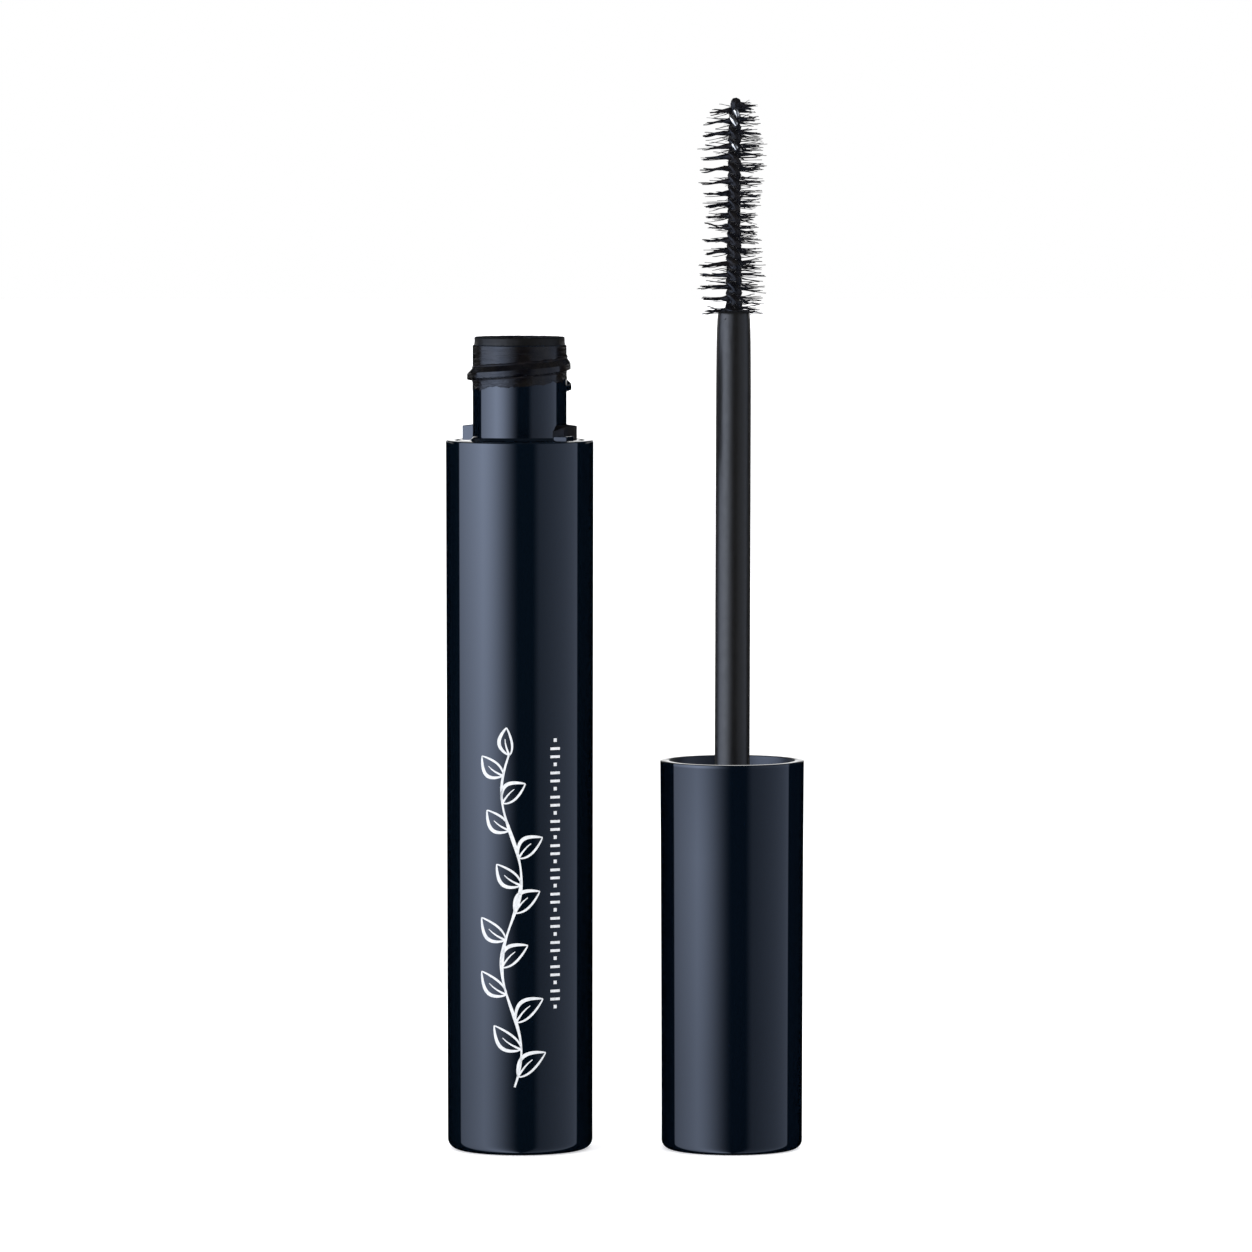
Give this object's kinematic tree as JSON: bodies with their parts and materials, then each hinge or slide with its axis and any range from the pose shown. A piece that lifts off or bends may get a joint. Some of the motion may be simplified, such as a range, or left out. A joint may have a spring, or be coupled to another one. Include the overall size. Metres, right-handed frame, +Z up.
{
  "type": "mascara tube",
  "caption": "Round mascara bottle with a threaded neck, and its screw cap standing beside it with the rod and spiral brush pointing up.",
  "frame": {"origin": "centre of the bottle's flat base", "axes": "+Z up along the bottle's axis to its neck, +X towards the cap that stands beside it"},
  "size_m": [0.0413, 0.017, 0.1213],
  "materials": {
    "bottle_gloss": "polished, near-black navy",
    "neck_gloss": "gloss moulded, with dried paste at the lip and thread",
    "cap_gloss": "polished, near-black navy",
    "inner_plastic": "moulded, satin",
    "wiper_rubber": "soft, matte, stained by paste",
    "seal_foam": "closed-cell foam",
    "rod_plastic": "satin black with a thin film of paste",
    "wire_steel": "drawn stainless wire",
    "fibre": "fine black nylon fibres, partly clumped",
    "paste": "black paste, wet where thick and matte where dry"
  },
  "bodies": {
    "bottle": {"bottle_sleeve": "bottle_gloss", "reservoir": "neck_gloss", "wiper": "wiper_rubber", "mascara_fill": "paste"},
    "tip_paste": {"tip_dab": "paste"},
    "stem_paste": {"stem_residue": "paste"},
    "stem": {"rod": "rod_plastic"},
    "cap": {"cap_shell": "cap_gloss", "inner_cap": "inner_plastic", "neck_seal": "seal_foam", "twisted_wire": "wire_steel", "bristles": "fibre"}
  },
  "joints": [
    {"name": "wand_flip", "type": "hinge", "parent": "bottle", "child": "tip_paste", "pos_m": [0.01225, 0, 0.10785], "axis": [0, -1, 0], "range_deg": [0, 180]},
    {"name": "wand_slide", "type": "slide", "parent": "tip_paste", "child": "stem_paste", "axis": [0, 0, 1], "range_m": [0, 0.08605], "deforming": ["bristles", "tip_dab"]},
    {"name": "thread_travel", "type": "slide", "parent": "stem_paste", "child": "stem", "axis": [0, 0, 1], "range_m": [0, 0.0025]},
    {"name": "thread_turn", "type": "hinge", "parent": "stem", "child": "cap", "pos_m": [0.0245, 0, 0], "axis": [0, 0, 1], "range_deg": [0, 360]}
  ],
  "couplings": [
    {"joint": "thread_turn", "follows": "thread_travel", "rad_per_m": 2513.3}
  ]
}
